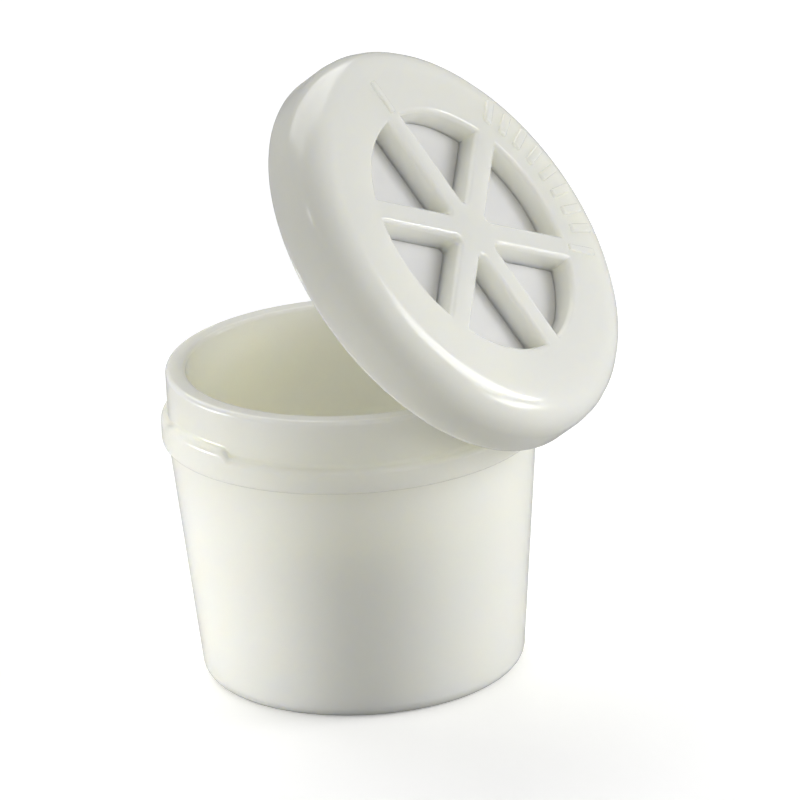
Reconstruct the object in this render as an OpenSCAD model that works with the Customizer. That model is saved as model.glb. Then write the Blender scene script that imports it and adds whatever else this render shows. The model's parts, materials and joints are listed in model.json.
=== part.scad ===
// Pill crusher: an open cup with a ribbed crushing floor, a round push-on lid
// with a six-spoked grip, and a crushing foot that swivels in the lid.
// The lid is off the cup and leans on its rim.
// Millimetres, +Z up. The origin is the centre of the cup's base.
// The lid leans towards +X, so the XZ plane is its plane of symmetry.

/* [Cup] */
// Outside diameter of the neck and rim
rim_d = 46; // [43:0.5:48]
// Height of the cup, base to rim
cup_h = 40.5; // [38:0.5:46]
// Outside diameter of the body at the base
base_d = 40.4; // [37:0.2:43]
// Outside diameter of the body just under the bead
shoulder_d = 46.2; // [44:0.2:46.8]
// Wall thickness at the mouth
wall = 2.5; // [2:0.1:3]
// Height of the plain neck above the bead
neck_h = 6.3; // [5.9:0.1:7]
// Height of the bead around the neck
bead_h = 3.0; // [2:0.1:4]
// Outside diameter of the bead
bead_d = 47.8; // [47.2:0.1:48]
// Depth of the crushing floor below the rim
floor_depth = 16.2; // [16:0.1:18]
// Radius of the rounded base edge
base_round = 1.8; // [0.5:0.1:2]

/* [Lid] */
// Outside diameter of the lid
lid_d = 54; // [53.4:0.2:58]
// Height of the lid, skirt edge to top
lid_h = 8.2; // [8:0.1:9]
// Radius of the lid's big rounded top edge
lid_round = 4.4; // [2:0.1:4.8]
// Diameter of the spoked recess in the lid's top
recess_d = 33.4; // [30:0.2:34]
// Depth of the recess, top of the spokes to the crushing foot
recess_depth = 3.1; // [2.5:0.1:3.2]
// Width of each spoke
spoke_w = 3.2; // [2:0.1:4]
// Number of full-width bars, each of which makes two spokes
bars = 3; // [2:1:4]
// Height that the grip ticks stand above the lid's top
tick_h = 0.45; // [0.2:0.05:0.6]
// Number of grip ticks
ticks = 8; // [4:1:10]

/* [Crushing foot] */
// Diameter of the part that presses on the tablets
foot_d = 26; // [20:0.5:28]
// Distance that the foot reaches below the lid's skirt
foot_reach = 9.2; // [7:0.1:9.3]
// Number of crushing ribs on the foot and on the floor
ribs = 12; // [6:2:16]
// Height of the crushing ribs
rib_h = 0.8; // [0.4:0.1:0.9]

/* [Lean] */
// Angle by which the lid leans over from level
lean = 52.3; // [30:0.1:60]
// Distance of the lean's turning point from the cup's axis
pivot_x = 26.2; // [25.5:0.1:28]
// Height of the lean's turning point
pivot_z = 32.6; // [31:0.1:34]

/* [Hidden] */
$fn = 128;

rim_r = rim_d / 2;
mouth_r = rim_r - wall;
bead_top = cup_h - neck_h;
bead_bottom = bead_top - bead_h;
floor_z = cup_h - floor_depth;
floor_r = mouth_r - 0.5;        // the mouth's draft, down to the floor
floor_t = 2.2;
floor_round = 2.5;              // radius where the inner wall meets the floor
lip_round = 0.6;
foot_ring = 3.6;                // width of the ring that the cup stands on
under_r = base_d / 2 - foot_ring;
under_top_r = under_r + 1.6;    // the hollow under the floor widens upwards
column_r = 4;                   // column that carries the floor down to the table
web_t = 1.4;                    // thickness of the webs under the floor
web_h = 5;                      // how far the webs reach below the floor
webs = 6;
cam_arc = 40;                   // length of each raised cam on the bead, degrees
cam_h = 0.9;
cam_start = 217;                // where the first cam begins, seen from above

lid_r = lid_d / 2;
skirt_r = bead_d / 2 + 0.3;     // inside of the skirt, clear of the bead and cams
top_t = 2.4;                    // thickness of the lid's top outside the recess
under_top = lid_h - top_t;      // underside of the top, above the skirt's edge
recess_r = recess_d / 2;
recess_z = lid_h - recess_depth;
hub_r = 3.6;                    // round hub where the spokes cross
disc_r = recess_r + 0.6;        // the foot's disc, which closes the recess from below
waist_r = disc_r - 1.2;         // the foot narrows here to clear the rim as it swings
disc_under = 3.0;               // lower edge of the disc's rim, above the skirt's edge
waist_top = -0.6;
waist_bottom = -2.3;
pin_r = 3;                      // the lid's pin, on which the foot swivels
pin_end = -6;                   // end of the pin, below the skirt's edge
swivel_gap = 0.08;              // running clearance between pin and foot
barb_r = pin_r + 0.35;          // the pin's barbed end, which keeps the foot on
barb_h = 0.8;
seat_gap = 0.15;                // lid's top above the rim when the lid is on
lid_seat = cup_h + seat_gap - under_top;
foot_r = foot_d / 2;
tick_start = 69;                // where the row of grip ticks begins, degrees
tick_span = 52;
mark_w = 0.8;                   // width of the two plain radial marks
mark_turns = [60, 179];

white = [0.93, 0.93, 0.91];
grey = [0.78, 0.79, 0.78];

// A square corner's waste: what is cut away to leave an arc of radius r.
// The corner is at [x, z]; sx and sz point outwards from the solid.
module corner_waste(x, z, r, sx, sz) {
    over = 0.2;
    difference() {
        translate([x - (sx > 0 ? r : over), z - (sz > 0 ? r : over)])
            square(r + over);
        translate([x - sx * r, z - sz * r])
            circle(r);
    }
}

// ---- cup ------------------------------------------------------------------

module cup_outline() {
    polygon([
        [0, floor_z - floor_t],
        [under_top_r, floor_z - floor_t],
        [under_r, 0],
        [base_d / 2, 0],
        [shoulder_d / 2, bead_bottom],
        [rim_r, bead_bottom],
        [rim_r, cup_h],
        [mouth_r, cup_h],
        [floor_r, floor_z],
        [0, floor_z]
    ]);
}

// The bead: a round-edged band that the lid's skirt comes down to
module bead_outline() {
    difference() {
        translate([rim_r - 1, bead_bottom])
            square([bead_d / 2 - rim_r + 1, bead_h]);
        corner_waste(bead_d / 2, bead_top, 0.9, 1, 1);
        corner_waste(bead_d / 2, bead_bottom, 0.6, 1, -1);
    }
}

// The concave round between the inner wall and the crushing floor
module floor_round_outline() {
    difference() {
        translate([floor_r - floor_round, floor_z - 0.1])
            square([floor_round + 0.6, floor_round + 0.1]);
        translate([floor_r - floor_round, floor_z + floor_round])
            circle(floor_round);
    }
}

module cup_shell() {
    rotate_extrude() {
        difference() {
            union() {
                cup_outline();
                bead_outline();
                floor_round_outline();
            }
            corner_waste(rim_r, cup_h, lip_round, 1, 1);
            corner_waste(mouth_r, cup_h, lip_round, -1, 1);
            corner_waste(base_d / 2 + 0.15, 0, base_round, 1, -1);
        }
    }
}

// One of the two low cams that stand on the bead
module cam() {
    rotate_extrude(angle = cam_arc)
        difference() {
            translate([rim_r - 1, bead_top - 1])
                square([bead_d / 2 - rim_r + 1 - 0.05, cam_h + 1]);
            corner_waste(bead_d / 2 - 0.05, bead_top + cam_h, 0.6, 1, 1);
        }
}

// A star of straight ribs on a disc, with the rib's underside at z = 0
module rib_star(inner, outer, h, w) {
    for (i = [0 : ribs - 1])
        rotate(i * 360 / ribs)
            translate([inner, -w / 2, 0])
                cube([outer - inner, w, h]);
}

// What carries the crushing floor from below
module floor_support() {
    cylinder(r = column_r, h = floor_z - 1);
    for (i = [0 : webs - 1])
        rotate((i + 0.5) * 360 / webs)
            translate([0, -web_t / 2, floor_z - floor_t - web_h])
                cube([under_top_r + 0.5, web_t, web_h + 1]);
}

module cup() {
    color(white) union() {
        cup_shell();
        floor_support();
        for (turn = [0, 180])
            rotate(cam_start + turn) cam();
        translate([0, 0, floor_z - 0.2])
            rib_star(4, foot_r, rib_h + 0.2, 1.2);
    }
}

// ---- lid, drawn level with its skirt's edge at z = 0 ----------------------

module lid_outline() {
    difference() {
        union() {
            translate([recess_r, recess_z]) square([lid_r - recess_r, recess_depth]);
            translate([skirt_r, 0]) square([lid_r - skirt_r, lid_h]);
        }
        // under the top, where the cup's rim goes
        translate([disc_r + 0.4, -1])
            square([skirt_r - disc_r - 0.4, under_top + 1]);
        corner_waste(lid_r, lid_h, lid_round, 1, 1);
        corner_waste(lid_r, 0, 0.5, 1, -1);
    }
}

module spokes() {
    translate([0, 0, recess_z])
        linear_extrude(recess_depth) {
            circle(r = hub_r);
            for (i = [0 : bars - 1])
                rotate(i * 180 / bars)
                    square([recess_d + 1, spoke_w], center = true);
        }
}

// The pin under the hub, with its barb
module pin_outline() {
    translate([0, pin_end]) square([pin_r, recess_z + 1 - pin_end]);
    translate([0, pin_end]) square([barb_r, barb_h]);
}

// Raised marks on the lid's top: a row of grip ticks and two plain lines
module top_marks() {
    embed = 1.2;
    for (i = [0 : ticks - 1])
        rotate(tick_start + i * tick_span / (ticks - 1))
            translate([19.2, -0.6, lid_h - embed])
                cube([3.8, 1.2, embed + tick_h]);
    for (turn = mark_turns)
        rotate(turn)
            translate([17.4, -mark_w / 2, lid_h - embed])
                cube([4.6, mark_w, embed + tick_h / 2]);
}

module level_lid() {
    rotate_extrude() lid_outline();
    rotate_extrude() pin_outline();
    spokes();
    top_marks();
}

// ---- crushing foot, drawn in the level lid --------------------------------

module foot_outline() {
    foot_face = rib_h - foot_reach;
    disc_top = recess_z - 0.05;
    difference() {
        polygon([
            [0, foot_face],
            [foot_r, foot_face],
            [waist_r, waist_bottom],
            [waist_r, waist_top],
            [disc_r, disc_under],
            [disc_r, disc_top],
            [0, disc_top]
        ]);
        // the bore, and the wider chamber that the barb snaps into
        translate([-1, pin_end - 0.2])
            square([1 + pin_r + swivel_gap, disc_top + 1 - pin_end]);
        translate([-1, pin_end - 0.2])
            square([1 + barb_r + 0.2, barb_h + 0.4]);
    }
}

module level_foot() {
    rotate_extrude() foot_outline();
    translate([0, 0, -foot_reach])
        rotate(180 / ribs) rib_star(3, foot_r - 1, rib_h + 0.2, 1.2);
}

// Carries a level piece from its seat on the cup to the leaning pose
module leaning() {
    translate([pivot_x, 0, pivot_z])
        rotate([0, lean, 0])
            translate([-pivot_x, 0, lid_seat - pivot_z])
                children();
}

module crusher() {
    color(grey) leaning() level_foot();
}

module lid() {
    color(white) leaning() level_lid();
}

cup();
crusher();
lid();
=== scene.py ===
# %% [markdown]
# # A pill crusher, built in cells
# A pill crusher is three mouldings: a cup that holds the tablets, a lid that the hand turns, and a
# foot under the lid that does the crushing, drawn grey as painted shade for the floors of the lid's
# windows. It already has every size, every place and every moving part, so the cells below only read
# it and put a finer surface round it. The box of that model is kept.

# %% Load the frame
import json
import math
import bmesh
import bpy
from mathutils import Matrix, Vector


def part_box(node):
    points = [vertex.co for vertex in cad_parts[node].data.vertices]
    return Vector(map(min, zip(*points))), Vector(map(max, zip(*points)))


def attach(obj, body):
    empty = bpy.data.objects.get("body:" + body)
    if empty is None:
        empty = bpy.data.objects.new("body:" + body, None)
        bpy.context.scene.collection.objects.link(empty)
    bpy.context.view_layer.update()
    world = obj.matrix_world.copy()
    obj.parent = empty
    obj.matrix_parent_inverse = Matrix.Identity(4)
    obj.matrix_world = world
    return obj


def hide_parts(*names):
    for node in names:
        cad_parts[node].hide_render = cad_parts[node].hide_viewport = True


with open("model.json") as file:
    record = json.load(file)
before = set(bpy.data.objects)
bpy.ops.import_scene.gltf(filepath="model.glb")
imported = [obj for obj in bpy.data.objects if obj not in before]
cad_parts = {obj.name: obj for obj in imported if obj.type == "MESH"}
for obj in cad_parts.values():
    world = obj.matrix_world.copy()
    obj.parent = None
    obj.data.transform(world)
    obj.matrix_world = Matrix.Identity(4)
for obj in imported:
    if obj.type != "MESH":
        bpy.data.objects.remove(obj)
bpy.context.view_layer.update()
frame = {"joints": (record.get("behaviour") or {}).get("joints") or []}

# %% [markdown]
# Plastic parts are drawn in millimetres, and Blender works in metres, so one factor is named once.
# The driving sizes come from the boxes of the nodes, and the places of the two joints say where
# the lid is and how it leans.

# %% Sizes and joints read from the frame
MM = 0.001
joints = {joint["name"]: joint for joint in frame["joints"]}
cup_low, cup_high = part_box("cup")
cup_h = cup_high.z
bead_r = cup_high.x
lid_axis = Vector(joints["lid_twist"]["axis"])
lid_centre = Vector(joints["lid_twist"]["pos_m"])
lean = math.atan2(lid_axis.x, lid_axis.z)
lid_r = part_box("lid")[1].y
print(f"cup {cup_h / MM:.1f} mm high, bead radius {bead_r / MM:.2f} mm, lid radius {lid_r / MM:.1f} mm")
print(f"the lid leans by {math.degrees(lean):.1f} degrees")

# %% [markdown]
# The camera is a long lens a metre away, a little above the rim, which keeps the ellipses of the
# cup and the lid honest. It is placed by an azimuth, an elevation and a slight roll round a point
# on the cup's axis. The two slides move it sideways and up without turning it, so the lid that
# leans out on the right still sits in the middle.

# %% Camera
AZIMUTH = math.radians(27.91)
ELEVATION = math.radians(20.17)
ROLL = math.radians(2.89)
DISTANCE = 1.0066
SLIDE_RIGHT = 0.00534
SLIDE_UP = 0.01546
aim = Vector((0, 0, 0.454 * cup_h))

towards = Vector((math.sin(AZIMUTH) * math.cos(ELEVATION),
                  -math.cos(AZIMUTH) * math.cos(ELEVATION),
                  math.sin(ELEVATION)))
turn = (-towards).to_track_quat("-Z", "Y").to_matrix() @ Matrix.Rotation(-ROLL, 3, "Z")
right, up = turn.col[0], turn.col[1]

camera_data = bpy.data.cameras.new("camera")
camera_data.lens = 360
camera_data.sensor_width = 36
camera_data.clip_end = 20
camera = bpy.data.objects.new("camera", camera_data)
stand = aim + DISTANCE * towards + SLIDE_RIGHT * right + SLIDE_UP * up
camera.matrix_world = Matrix.Translation(stand) @ turn.to_4x4()
bpy.context.scene.collection.objects.link(camera)
bpy.context.scene.camera = camera
print("camera at", [round(v, 3) for v in camera.matrix_world.translation])

# %% [markdown]
# White plastic on a white table needs light that falls off round the form. Three large soft boxes,
# in front, on the right and high behind, light the lid and the inside of the cup. Two low cards
# close to the cup brighten its sides and leave its middle darker. A card's beam is narrow, so that
# it passes under the lid. Two small lamps put glints on the rounded edges.

# %% Stage and lights
def area_light(name, size_x, size_y, watts, place, target, spread=180):
    data = bpy.data.lights.new(name, "AREA")
    data.shape = "RECTANGLE"
    data.size = size_x
    data.size_y = size_y
    data.energy = watts
    data.spread = math.radians(spread)
    lamp = bpy.data.objects.new(name, data)
    lamp.location = place
    lamp.rotation_euler = (Vector(target) - Vector(place)).to_track_quat("-Z", "Y").to_euler()
    bpy.context.scene.collection.objects.link(lamp)
    return lamp


def beside(across, deep, high):
    """A place: across to the camera's right, deep behind the object, high above the floor."""
    flat = Vector((-towards.x, -towards.y, 0)).normalized()
    sideways = Vector((-flat.y, flat.x, 0)) * -1
    return across * sideways + deep * flat + Vector((0, 0, high))


middle = Vector((0, 0, cup_h * 0.8))
low = Vector((0, 0, cup_h * 0.25))
CARD_BEAM = 38
area_light("front_box", 1.6, 1.0, 2.25, beside(0.0, -0.85, 0.5), middle)
area_light("right_box", 0.5, 0.5, 4.5, beside(0.95, 0.0, 0.35), middle)
area_light("back_box", 1.0, 0.8, 4.8, beside(-0.22, 0.6, 0.8), middle)
area_light("left_card", 0.16, 0.04, 0.037, beside(-0.2, 0.01, 0.014), low, CARD_BEAM)
area_light("right_card", 0.16, 0.04, 0.012, beside(0.2, -0.02, 0.014), low, CARD_BEAM)
area_light("right_spark", 0.04, 0.04, 0.5, beside(0.96, 0.14, 0.2), middle)
area_light("left_spark", 0.15, 0.15, 0.3, beside(-0.8, -0.35, 0.75), middle)

world = bpy.data.worlds.new("studio")
world.use_nodes = True
world.node_tree.nodes["Background"].inputs["Color"].default_value = (1.0, 1.0, 1.0, 1)
world.node_tree.nodes["Background"].inputs["Strength"].default_value = 0.24
bpy.context.scene.world = world
bpy.context.scene.view_settings.view_transform = "Standard"

# %% [markdown]
# The floor is one big square of plain matt white. A real white table would throw so much light up
# that the form of a white object is lost, so rays that bounce see it darker than the camera does.
# For the camera it also glows a little, which takes the far floor to a clean white.

# %% Floor
def principled(name, base, roughness):
    """A material with its Principled shader, and the node tree to add to."""
    material = bpy.data.materials.new(name)
    material.use_nodes = True
    shader = material.node_tree.nodes["Principled BSDF"]
    shader.inputs["Base Color"].default_value = (*base, 1)
    shader.inputs["Roughness"].default_value = roughness
    return material, material.node_tree, shader


def mesh_object(name, work, *materials):
    """Turns a bmesh into an object in the scene, and frees it."""
    mesh = bpy.data.meshes.new(name)
    work.to_mesh(mesh)
    work.free()
    for material in materials:
        mesh.materials.append(material)
    made = bpy.data.objects.new(name, mesh)
    bpy.context.scene.collection.objects.link(made)
    return made


floor_paint, floor_tree, floor_shader = principled("floor_paint", (0.95, 0.95, 0.95), 0.9)
floor_shader.inputs["Specular IOR Level"].default_value = 0.1
path = floor_tree.nodes.new("ShaderNodeLightPath")
floor_tone = floor_tree.nodes.new("ShaderNodeMix")
floor_tone.data_type = "RGBA"
floor_tone.inputs["A"].default_value = (0.45, 0.45, 0.45, 1)
floor_tone.inputs["B"].default_value = (0.95, 0.95, 0.95, 1)
floor_glow = floor_tree.nodes.new("ShaderNodeMath")
floor_glow.operation = "MULTIPLY"
floor_glow.inputs[1].default_value = 0.28
floor_tree.links.new(path.outputs["Is Camera Ray"], floor_glow.inputs[0])
floor_shader.inputs["Emission Color"].default_value = (1, 1, 1, 1)
floor_tree.links.new(floor_glow.outputs["Value"], floor_shader.inputs["Emission Strength"])
floor_tree.links.new(path.outputs["Is Camera Ray"], floor_tone.inputs["Factor"])
floor_tree.links.new(floor_tone.outputs["Result"], floor_shader.inputs["Base Color"])
square = bmesh.new()
bmesh.ops.create_grid(square, x_segments=1, y_segments=1, size=3)
floor = mesh_object("floor", square, floor_paint)
print("floor", [round(v, 1) for v in floor.dimensions])

# %% [markdown]
# All three parts are turned from an outline, as on a lathe. The outline is drawn as one flat face,
# because then each corner can be rounded by the bevel tool, as a mould maker would, before the face
# is taken away and its edge is spun round the axis. A corner is given with its own radius. Where the
# outline meets the axis, the fan of thin triangles is dissolved into one flat face, which bevels well.

# %% Turning helpers
STEPS = 192
SAME = 1e-7  # metres: points closer than this are one point


def outline_face(corners):
    """A flat face in the XZ plane. Each corner is (radius, height, rounding) in millimetres."""
    work = bmesh.new()
    points = [work.verts.new((r * MM, 0, z * MM)) for r, z, _ in corners]
    work.faces.new(points)
    for point, (_, _, rounding) in zip(points, corners):
        if rounding == 0:
            continue
        ahead, behind = [(edge.other_vert(point).co - point.co).normalized() for edge in point.link_edges]
        half_turn = (math.pi - ahead.angle(behind)) / 2
        bmesh.ops.bevel(work, geom=[point], offset=rounding * MM * math.tan(half_turn),
                        offset_type="OFFSET", affect="VERTICES", segments=6, profile=0.5, material=-1)
    return work


def turned(corners):
    """Spins an outline through a full turn into a closed shell."""
    work = outline_face(corners)
    bmesh.ops.delete(work, geom=work.faces[:], context="FACES_ONLY")
    on_axis = [e for e in work.edges if all(abs(v.co.x) < SAME for v in e.verts)]
    bmesh.ops.delete(work, geom=on_axis, context="EDGES")
    bmesh.ops.spin(work, geom=work.verts[:] + work.edges[:], cent=(0, 0, 0), axis=(0, 0, 1),
                   angle=math.tau, steps=STEPS, use_merge=True)
    bmesh.ops.remove_doubles(work, verts=work.verts[:], dist=SAME)
    poles = [v for v in work.verts if v.co.xy.length < SAME]
    bmesh.ops.dissolve_verts(work, verts=poles)
    bmesh.ops.recalc_face_normals(work, faces=work.faces[:])
    return work


print("a full turn has", STEPS, "steps")

# %% [markdown]
# Parts that are moulded in one with a turned shape, such as ribs and windows, are made as simple
# solids of their own and then joined to it, or cut from it, with a Boolean modifier. The exact
# solver is used because its faces stay clean enough to be bevelled afterwards.

# %% Joining and cutting
SHARP = math.radians(38)


def combined(work, tool, operation):
    """Joins (UNION) or cuts (DIFFERENCE) one bmesh with another and gives back a new one."""
    base_object = mesh_object("base", work)
    tool_object = mesh_object("tool", tool)
    boolean = base_object.modifiers.new("boolean", "BOOLEAN")
    boolean.solver = "EXACT"
    boolean.operation = operation
    boolean.object = tool_object
    depsgraph = bpy.context.evaluated_depsgraph_get()
    result = bmesh.new()
    result.from_mesh(base_object.evaluated_get(depsgraph).to_mesh())
    for spent in (base_object, tool_object):
        mesh = spent.data
        bpy.data.objects.remove(spent)
        bpy.data.meshes.remove(mesh)
    bmesh.ops.remove_doubles(result, verts=result.verts[:], dist=SAME)
    return result


def bars(places, length, width, height, edge):
    """Bevelled bars in one bmesh, in millimetres. A place is (angle in degrees, inner radius, underside)."""
    work = bmesh.new()
    for angle, inner, underside in places:
        made = bmesh.ops.create_cube(work, size=1)["verts"]
        bmesh.ops.scale(work, verts=made, vec=(length * MM, width * MM, height * MM))
        bmesh.ops.translate(work, verts=made,
                            vec=((inner + length / 2) * MM, 0, (underside + height / 2) * MM))
        bmesh.ops.rotate(work, verts=made, cent=(0, 0, 0),
                         matrix=Matrix.Rotation(math.radians(angle), 3, "Z"))
    bmesh.ops.bevel(work, geom=work.edges[:], offset=edge * MM, offset_type="OFFSET",
                    affect="EDGES", segments=3, profile=0.5, material=-1)
    return work


def finished(name, work, material, body, replaced):
    """Makes the object, shades it smooth up to a sharp angle, and puts it on its body."""
    made = mesh_object(name, work, material)
    made.data.polygons.foreach_set("use_smooth", [True] * len(made.data.polygons))
    made.data.set_sharp_from_angle(angle=SHARP)
    made.modifiers.new("weighted_normals", "WEIGHTED_NORMAL").keep_sharp = True
    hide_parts(replaced)
    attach(made, body)
    triangles = sum(len(face.vertices) - 2 for face in made.data.polygons)
    print(f"{name}: {triangles} triangles")
    return made


print("Boolean and bevel helpers are ready")

# %% [markdown]
# Moulded polypropylene is not one flat colour. Its skin has a faint ripple from the mould, a very
# slight cloudiness from the pigment, and small changes of gloss where hands have polished it. All
# three are in one node group, so that the white and the grey plastic share them with their own
# values. The group reads Object coordinates, which follow each part and never slide.

# %% Shared effect: moulded plastic skin
def node(tree, kind, place, **settings):
    made = tree.nodes.new(kind)
    made.location = place
    for key, value in settings.items():
        setattr(made, key, value)
    return made


skin = bpy.data.node_groups.new("moulded_skin", "ShaderNodeTree")
for label, kind, value in (("Pale", "NodeSocketColor", (1, 1, 1, 1)),
                           ("Deep", "NodeSocketColor", (0.9, 0.9, 0.9, 1)),
                           ("Cloud Scale", "NodeSocketFloat", 60.0),
                           ("Gloss Low", "NodeSocketFloat", 0.2),
                           ("Gloss High", "NodeSocketFloat", 0.3)):
    socket = skin.interface.new_socket(label, in_out="INPUT", socket_type=kind)
    socket.default_value = value
for label, kind in (("Color", "NodeSocketColor"),
                    ("Roughness", "NodeSocketFloat"),
                    ("Ripple", "NodeSocketFloat")):
    skin.interface.new_socket(label, in_out="OUTPUT", socket_type=kind)

taken = node(skin, "NodeGroupInput", (-900, 0))
given = node(skin, "NodeGroupOutput", (500, 0))
where = node(skin, "ShaderNodeTexCoord", (-900, -250))
cloud = node(skin, "ShaderNodeTexNoise", (-650, 100))
cloud.inputs["Detail"].default_value = 4
cloud.inputs["Roughness"].default_value = 0.6
cloud_mix = node(skin, "ShaderNodeMix", (-150, 150), data_type="RGBA")
smudge = node(skin, "ShaderNodeTexNoise", (-650, -150))
smudge.inputs["Scale"].default_value = 130
smudge.inputs["Detail"].default_value = 6
gloss = node(skin, "ShaderNodeMapRange", (-150, -150))
gloss.inputs["From Min"].default_value = 0.35
gloss.inputs["From Max"].default_value = 0.65
ripple = node(skin, "ShaderNodeTexNoise", (-650, -450))
ripple.inputs["Scale"].default_value = 900
ripple.inputs["Detail"].default_value = 2
for noise in (cloud, smudge, ripple):
    skin.links.new(where.outputs["Object"], noise.inputs["Vector"])
skin.links.new(taken.outputs["Cloud Scale"], cloud.inputs["Scale"])
skin.links.new(cloud.outputs["Fac"], cloud_mix.inputs["Factor"])
skin.links.new(taken.outputs["Pale"], cloud_mix.inputs["A"])
skin.links.new(taken.outputs["Deep"], cloud_mix.inputs["B"])
skin.links.new(smudge.outputs["Fac"], gloss.inputs["Value"])
skin.links.new(taken.outputs["Gloss Low"], gloss.inputs["To Min"])
skin.links.new(taken.outputs["Gloss High"], gloss.inputs["To Max"])
skin.links.new(cloud_mix.outputs["Result"], given.inputs["Color"])
skin.links.new(gloss.outputs["Result"], given.inputs["Roughness"])
skin.links.new(ripple.outputs["Fac"], given.inputs["Ripple"])
print("skin group:", len(skin.nodes), "nodes")

# %% [markdown]
# The white plastic is a warm, milky white that lets light in under its skin, and the grey one is
# less milky; its grey is painted shade for the floors of the lid's windows. Light that bounces
# between white walls picks up their warmth at each bounce, so the inside of the cup turns cream
# without any paint. Values that are the same all over are set on the shader's own sockets, and only
# what changes over the surface comes from the group. The calls give the pale and deep colours, the
# range of roughness, the ripple's height in millimetres and the share of light that goes under the
# skin.

# %% The two plastics
def plastic(name, pale, deep, gloss_range, ripple_height, milky):
    material, tree, shader = principled(name, pale, gloss_range[0])
    shader.inputs["IOR"].default_value = 1.49
    shader.inputs["Subsurface Weight"].default_value = milky
    shader.inputs["Subsurface Radius"].default_value = (1.0, 0.95, 0.75)
    shader.inputs["Subsurface Scale"].default_value = 5 * MM
    skin_node = node(tree, "ShaderNodeGroup", (-500, 0), node_tree=skin)
    skin_node.inputs["Pale"].default_value = (*pale, 1)
    skin_node.inputs["Deep"].default_value = (*deep, 1)
    skin_node.inputs["Gloss Low"].default_value = gloss_range[0]
    skin_node.inputs["Gloss High"].default_value = gloss_range[1]
    bump = node(tree, "ShaderNodeBump", (-250, -250))
    bump.inputs["Strength"].default_value = 0.2
    bump.inputs["Distance"].default_value = ripple_height * MM
    tree.links.new(skin_node.outputs["Color"], shader.inputs["Base Color"])
    tree.links.new(skin_node.outputs["Roughness"], shader.inputs["Roughness"])
    tree.links.new(skin_node.outputs["Ripple"], bump.inputs["Height"])
    tree.links.new(bump.outputs["Normal"], shader.inputs["Normal"])
    return material


white_plastic = plastic("white_plastic", (0.935, 0.93, 0.825), (0.93, 0.925, 0.815), (0.14, 0.18), 0.02, 0.9)
# the grey is painted shade: it stands in for the shade on the floors of the lid's windows
grey_plastic = plastic("grey_plastic", (0.82, 0.82, 0.82), (0.805, 0.805, 0.805), (0.30, 0.36), 0.02, 0.4)
print("materials:", white_plastic.name, grey_plastic.name)

# %% [markdown]
# ## The cup
# The cup is one turned shell: a foot ring and a hollow under it, a tapered body, a bead, a plain
# neck, a rim and the inside down to the crushing floor. It could be carved from a cylinder with
# loops and scales, but an outline with a rounding at each corner reads like the maker's drawing.

# %% Cup outline
WALL = 2.5
RIM = 23.0
COLUMN = 4.0
RING_INSIDE = 16.6
BASE = 20.2
SHOULDER = 23.1
BEAD = bead_r / MM
RIM_TOP = cup_h / MM
BEAD_TOP = RIM_TOP - 6.3
BEAD_FOOT = BEAD_TOP - 3.0
FLOOR = RIM_TOP - 16.2
UNDER_FLOOR = FLOOR - 2.2
cup_outline = [
    (0, 0, 0),
    (COLUMN, 0, 0.4),
    (COLUMN, UNDER_FLOOR, 0.8),
    (RING_INSIDE + 1.6, UNDER_FLOOR, 0.8),
    (RING_INSIDE, 0, 0.4),
    (BASE, 0, 1.8),
    (SHOULDER, BEAD_FOOT, 0.3),
    (BEAD, BEAD_FOOT + 0.1, 0.4),
    (BEAD, BEAD_TOP, 0.8),
    (RIM, BEAD_TOP + 0.4, 0.6),
    (RIM, RIM_TOP, 0.6),
    (RIM - WALL, RIM_TOP, 0.5),
    (RIM - WALL - 0.5, FLOOR, 2.5),
    (0, FLOOR, 0),
]
cup_shell = turned(cup_outline)
print("cup shell:", len(cup_shell.faces), "faces")

# %% [markdown]
# The bead carries two low cams that guide the lid when it is pushed on. They are only stretches of
# the bead where its upper edge rises slowly and then drops at a blunt step. Raising that row of
# points keeps the shell in one piece, which a separate ring on top would not.

# %% Raise the two cams
CAM_START = 217   # degrees
CAM_ARC = 40      # degrees
CAM_HEIGHT = 0.9
RAMP = 12.0       # degrees of slow rise at the start
STEP = 2.5        # degrees of quick fall at the end


def cam_share(degrees):
    """How much of the cam's height stands at this angle: 1 on a cam, 0 beside it."""
    along = (degrees - CAM_START) % 180
    rise = min(along / RAMP, (CAM_ARC - along) / STEP)
    rise = max(0.0, min(1.0, rise))
    return rise * rise * (3 - 2 * rise)


raised = 0
for vert in cup_shell.verts:
    radius = vert.co.xy.length / MM
    height = vert.co.z / MM
    if radius < RIM - 0.1 or not BEAD_TOP - 0.95 < height < BEAD_TOP + 1.4:
        continue
    vert.co.z += CAM_HEIGHT * MM * cam_share(math.degrees(math.atan2(vert.co.y, vert.co.x)))
    raised += 1
print("points raised:", raised)

# %% [markdown]
# Twelve straight ribs on the crushing floor grip the tablets, and six webs underneath carry the
# floor to its column and wall. Both are plain bars, bevelled and then joined to the shell.

# %% Ribs and webs of the cup
RIBS = 12
WEBS = 6
rib_places = [(360 * i / RIBS, COLUMN, FLOOR - 0.5) for i in range(RIBS)]
web_places = [(360 * (i + 0.5) / WEBS, COLUMN / 2, UNDER_FLOOR - 5.0) for i in range(WEBS)]
floor_ribs = bars(rib_places, length=9.0, width=1.2, height=1.3, edge=0.3)
webs = bars(web_places, length=17.0, width=1.4, height=6.0, edge=0.2)
cup_work = combined(cup_shell, floor_ribs, "UNION")
cup_work = combined(cup_work, webs, "UNION")
cup = finished("cup_moulding", cup_work, white_plastic, "cup", "cup")
print("cup size, mm:", [round(v / MM, 1) for v in cup.dimensions])

# %% [markdown]
# ## The lid
# The lid is also turned: a thick plate with a very round edge, a skirt that goes over the bead, and
# a pin under the middle that the foot turns on. It is drawn level, with the edge of its skirt at
# height zero, and carried to its leaning place at the end.

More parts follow.
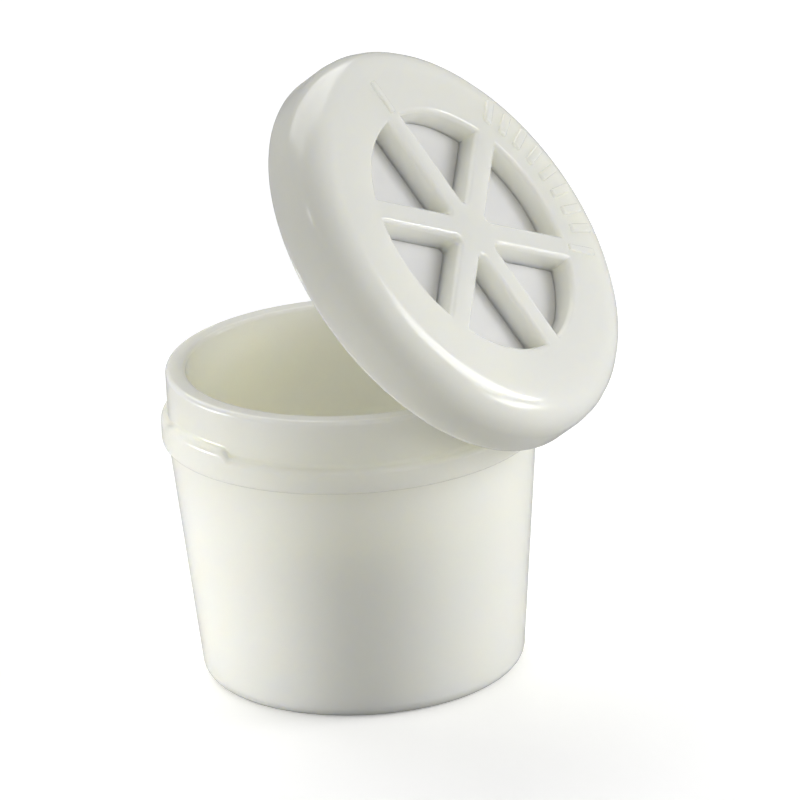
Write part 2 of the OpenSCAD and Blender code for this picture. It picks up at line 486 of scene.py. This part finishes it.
# %% Lid outline
LID = lid_r / MM
LID_TOP = 8.2
PLATE_UNDER = LID_TOP - 3.1
RIM_SEAT = LID_TOP - 2.4
SKIRT = BEAD + 0.3
PLATE_EDGE = 17.7
PIN = 3.0
PIN_END = -6.0
BARB = PIN + 0.35
lid_outline = [
    (0, PIN_END, 0),
    (BARB, PIN_END, 0.25),
    (BARB, PIN_END + 0.8, 0.15),
    (PIN, PIN_END + 1.0, 0.1),
    (PIN, PLATE_UNDER, 0),
    (PLATE_EDGE, PLATE_UNDER, 0.2),
    (PLATE_EDGE, RIM_SEAT, 0.2),
    (SKIRT, RIM_SEAT, 0.6),
    (SKIRT, 0, 0.4),
    (LID, 0, 0.6),
    (LID, LID_TOP, 4.4),
    (0, LID_TOP, 0),
]
lid_work = turned(lid_outline)
print("lid shell:", len(lid_work.faces), "faces")

# %% [markdown]
# Six windows leave three spokes that cross at a hub. Each window is a slice of a disc: the disc is
# cut along both sides of every spoke, the strips are thrown away, and what is left is pulled down
# into six blocks with rounded corners. Narrowing the blocks downwards gives the walls their draft.

# %% Window blocks
WINDOW = 16.7
SPOKE = 3.2
CORNER = 1.1
DRAFT = 0.95      # how much narrower a block is at its lower end
windows = bmesh.new()
bmesh.ops.create_circle(windows, cap_ends=True, radius=WINDOW * MM, segments=STEPS)
bmesh.ops.translate(windows, verts=windows.verts[:], vec=(0, 0, (LID_TOP + 1) * MM))
spoke_angles = [math.radians(60 * i) for i in range(3)]
sideways = [Vector((-math.sin(a), math.cos(a), 0)) for a in spoke_angles]
for across in sideways:
    for side in (-1, 1):
        bmesh.ops.bisect_plane(windows, geom=windows.verts[:] + windows.edges[:] + windows.faces[:],
                               dist=1e-8, plane_co=across * side * SPOKE / 2 * MM, plane_no=across)
strips = [f for f in windows.faces
          if min(abs(f.calc_center_median().dot(across)) for across in sideways) < SPOKE / 2 * MM]
bmesh.ops.delete(windows, geom=strips, context="FACES")
for top in windows.faces[:]:
    pulled = bmesh.ops.extrude_face_region(windows, geom=[top])["geom"]
    low = [v for v in pulled if isinstance(v, bmesh.types.BMVert)]
    bmesh.ops.translate(windows, verts=low, vec=(0, 0, (PLATE_UNDER - LID_TOP - 2) * MM))
    centre = sum((v.co for v in low), Vector()) / len(low)
    bmesh.ops.scale(windows, verts=low, vec=(DRAFT, DRAFT, 1), space=Matrix.Translation(-centre))
bmesh.ops.recalc_face_normals(windows, faces=windows.faces[:])
upright = [e for e in windows.edges
           if abs(e.verts[0].co.z - e.verts[1].co.z) > MM and e.calc_face_angle(0) > math.radians(20)]
bmesh.ops.bevel(windows, geom=upright, offset=CORNER * MM, offset_type="OFFSET",
                affect="EDGES", segments=6, profile=0.5, material=-1)
print("windows:", len(upright) // 3, "blocks with rounded corners")

# %% [markdown]
# The blocks are cut out of the plate, and the rims of the windows are rounded with a bevel, so that
# each spoke has the soft edge of a moulding. The rims are found by their height and their angle.

# %% Cut the windows and round their rims
WINDOW_EDGE = 0.7
lid_work = combined(lid_work, windows, "DIFFERENCE")
rims = [e for e in lid_work.edges
        if all(abs(v.co.z - LID_TOP * MM) < 10 * SAME for v in e.verts)
        and e.calc_face_angle(0) > math.radians(45)]
bmesh.ops.bevel(lid_work, geom=rims, offset=WINDOW_EDGE * MM, offset_type="OFFSET",
                affect="EDGES", segments=4, profile=0.5, material=-1)
print("rim edges rounded:", len(rims))

# %% [markdown]
# A row of raised ticks on the lid's flat ring gives the fingers a grip, and two single lines stand
# beside the windows. All of them are plain bevelled bars, sunk into the ring and joined to it.

# %% Marks on the lid
TICKS = 8
TICK_START = 69   # degrees
TICK_SPAN = 52    # degrees
LINES = (60, 179)  # degrees
SUNK = 1.2
tick_places = [(TICK_START + TICK_SPAN * i / (TICKS - 1), 19.2, LID_TOP - SUNK) for i in range(TICKS)]
line_places = [(angle, 17.4, LID_TOP - SUNK) for angle in LINES]
tick_bars = bars(tick_places, length=3.8, width=1.2, height=SUNK + 0.45, edge=0.3)
line_bars = bars(line_places, length=4.6, width=1.0, height=SUNK + 0.3, edge=0.2)
lid_work = combined(lid_work, tick_bars, "UNION")
lid_work = combined(lid_work, line_bars, "UNION")
to_place = Matrix.Translation(lid_centre) @ Matrix.Rotation(lean, 4, "Y")
bmesh.ops.transform(lid_work, matrix=to_place, verts=lid_work.verts[:])
lid = finished("lid_moulding", lid_work, white_plastic, "lid", "lid")
print("lid size, mm:", [round(v / MM, 1) for v in lid.dimensions])

# %% [markdown]
# ## The crushing foot
# The foot's flat top closes the windows from below, so it is what shows between the spokes, and its
# grey is painted shade for the floors of the windows. Under it a waist and a cone lead to the small
# ribbed face that presses on the tablets. Its bore runs on the lid's pin, with a wider chamber for the pin's
# barb.

# %% Crushing foot
FOOT_TOP = PLATE_UNDER - 0.05
FOOT_FACE = -8.4
BORE = PIN + 0.08
CHAMBER = BARB + 0.2
DISC = WINDOW + 0.6
WAIST = DISC - 1.2
FACE = 13.0
RIB_HEIGHT = 0.8
foot_outline = [
    (BORE, FOOT_TOP, 0.1),
    (DISC, FOOT_TOP, 0.3),
    (DISC, 3.0, 0.2),
    (WAIST, -0.6, 0.4),
    (WAIST, -2.3, 0.5),
    (FACE, FOOT_FACE, 0.6),
    (0, FOOT_FACE, 0),
    (0, PIN_END - 0.2, 0),
    (CHAMBER, PIN_END - 0.2, 0),
    (CHAMBER, PIN_END + 1.0, 0),
    (BORE, PIN_END + 1.0, 0),
]
foot_work = turned(foot_outline)
foot_rib_places = [(360 * (i + 0.5) / RIBS, PIN, FOOT_FACE - RIB_HEIGHT) for i in range(RIBS)]
foot_ribs = bars(foot_rib_places, length=9.0, width=1.2, height=RIB_HEIGHT + 0.4, edge=0.3)
foot_work = combined(foot_work, foot_ribs, "UNION")
bmesh.ops.transform(foot_work, matrix=to_place, verts=foot_work.verts[:])
# the foot's grey is painted shade for the floors of the lid's windows
foot = finished("crushing_foot", foot_work, grey_plastic, "crusher", "crusher")
print("foot size, mm:", [round(v / MM, 1) for v in foot.dimensions])
